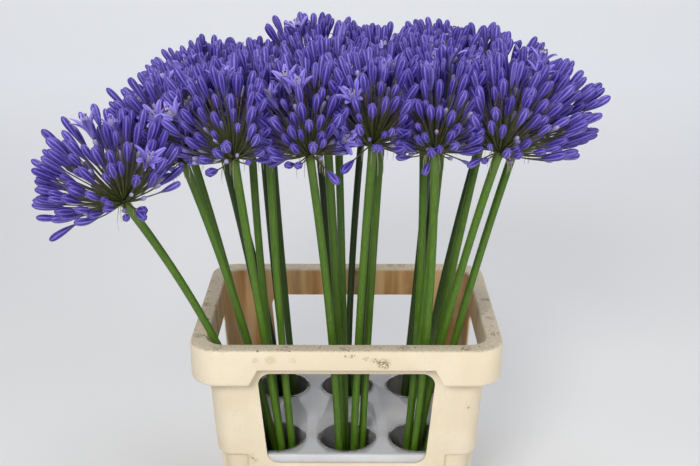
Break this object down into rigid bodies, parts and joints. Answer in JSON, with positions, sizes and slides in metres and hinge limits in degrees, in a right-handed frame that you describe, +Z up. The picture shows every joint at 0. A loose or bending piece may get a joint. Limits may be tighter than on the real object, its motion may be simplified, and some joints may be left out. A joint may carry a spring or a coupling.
{
  "type": "cut agapanthus in a flower transport crate",
  "caption": "Bunches of cut agapanthus, violet-blue umbels on tall green scapes, standing in a cream windowed crate with a grey tray of round sleeves and water.",
  "frame": {"origin": "middle of the crate's underside, on the surface it stands on", "axes": "+Z up, +X to the right along the crate's long side as seen from the front, +Y to the back"},
  "size_m": [0.7754, 0.6311, 0.7781],
  "materials": {
    "crate": "cream moulded plastic, satin, worn and scuffed on the rim",
    "tray": "thin grey plastic sheet, glossy, with clear sleeves",
    "water": "clear still water",
    "scape": "smooth fresh green stalk, faintly ribbed, satin",
    "umbel": "violet-blue petals with paler margins on dark green pedicels"
  },
  "bodies": {
    "root": {"crate": "crate", "tray": "tray", "water": "water", "scape_01": "scape", "scape_02": "scape", "scape_03": "scape", "scape_04": "scape", "scape_05": "scape", "scape_06": "scape", "scape_07": "scape", "scape_08": "scape", "scape_09": "scape", "scape_10": "scape", "scape_11": "scape", "scape_12": "scape", "scape_13": "scape", "scape_14": "scape", "scape_15": "scape", "scape_16": "scape", "scape_17": "scape", "scape_18": "scape", "scape_19": "scape", "scape_20": "scape", "scape_21": "scape", "scape_22": "scape", "scape_23": "scape", "scape_24": "scape", "scape_25": "scape", "scape_26": "scape", "scape_27": "scape", "scape_28": "scape", "umbel_01": "umbel", "umbel_02": "umbel", "umbel_03": "umbel", "umbel_04": "umbel", "umbel_05": "umbel", "umbel_06": "umbel", "umbel_07": "umbel", "umbel_08": "umbel", "umbel_09": "umbel", "umbel_10": "umbel", "umbel_11": "umbel", "umbel_12": "umbel", "umbel_13": "umbel", "umbel_14": "umbel", "umbel_15": "umbel", "umbel_16": "umbel", "umbel_17": "umbel", "umbel_18": "umbel", "umbel_19": "umbel", "umbel_20": "umbel", "umbel_21": "umbel", "umbel_22": "umbel", "umbel_23": "umbel", "umbel_24": "umbel", "umbel_25": "umbel", "umbel_26": "umbel", "umbel_27": "umbel", "umbel_28": "umbel"}
  },
  "joints": []
}
